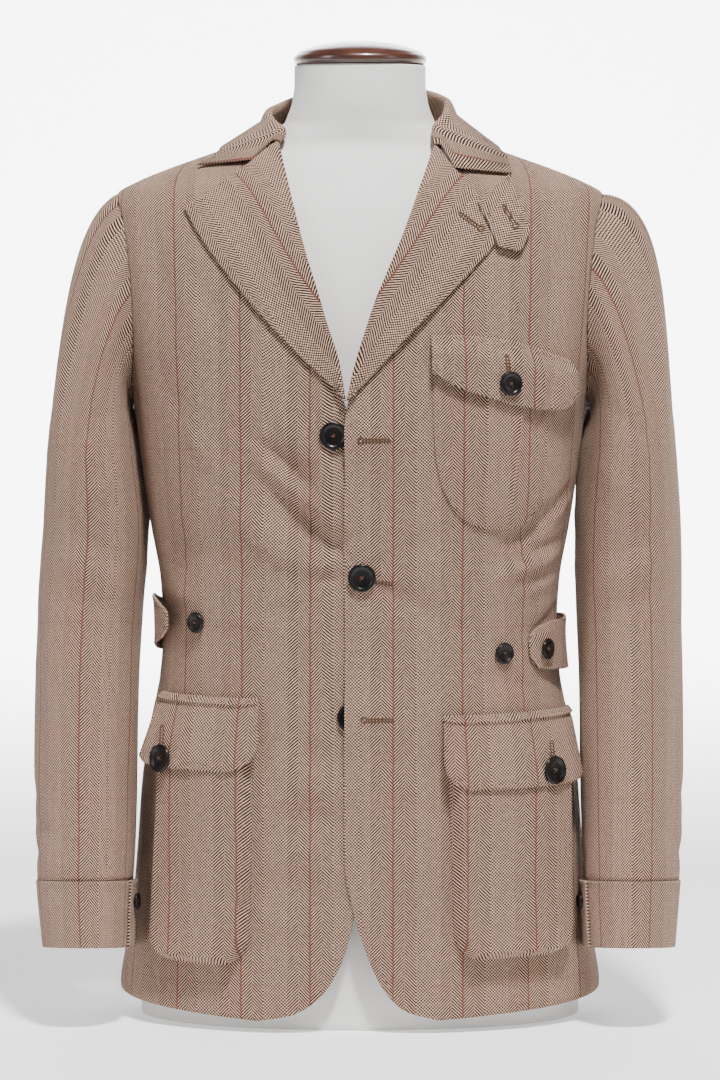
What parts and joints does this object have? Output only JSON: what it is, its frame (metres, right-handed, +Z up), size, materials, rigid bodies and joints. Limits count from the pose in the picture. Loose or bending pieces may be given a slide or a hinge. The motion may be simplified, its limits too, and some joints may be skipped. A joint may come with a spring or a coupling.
{
  "type": "safari jacket on a limbless dress form",
  "caption": "A wool tweed safari jacket with notch lapels, a throat tab, bellows patch pockets and waist tabs, buttoned at the waist on a limbless dress form",
  "frame": {"origin": "middle of the footprint, on the surface that the dress form stands on", "axes": "+Z up, the chest faces -Y, +X is the wearer's left"},
  "size_m": [0.5542, 0.2562, 0.8313],
  "materials": {
    "tweed": "brown wool herringbone with rust and grey-blue stripes",
    "horn": "near-black horn buttons, polished",
    "thread": "tan brown sewing silk",
    "cover": "plain off-white stretched cover",
    "walnut": "dark varnished walnut"
  },
  "bodies": {
    "root": {"front_left": "tweed", "front_right": "tweed", "back_left": "tweed", "back_right": "tweed", "sleeve_upper_left": "tweed", "sleeve_upper_right": "tweed", "sleeve_upper_fore_left": "tweed", "sleeve_upper_fore_right": "tweed", "sleeve_under_left": "tweed", "sleeve_under_right": "tweed", "sleeve_under_fore_left": "tweed", "sleeve_under_fore_right": "tweed", "cuff_left": "tweed", "cuff_right": "tweed", "collar": "tweed", "lapel_left": "tweed", "lapel_right": "tweed", "throat_tab": "tweed", "chest_pocket": "tweed", "chest_flap": "tweed", "pocket_left": "tweed", "pocket_right": "tweed", "pocket_flap_left": "tweed", "pocket_flap_right": "tweed", "waist_tab_left": "tweed", "waist_tab_right": "tweed", "front_button_1": "horn", "front_button_2": "horn", "front_button_3": "horn", "chest_button": "horn", "flap_button_left": "horn", "flap_button_right": "horn", "waist_button_left_1": "horn", "waist_button_left_2": "horn", "waist_button_right": "horn", "cuff_button_left": "horn", "cuff_button_right": "horn", "form_body": "cover", "form_cap": "walnut"}
  },
  "joints": []
}
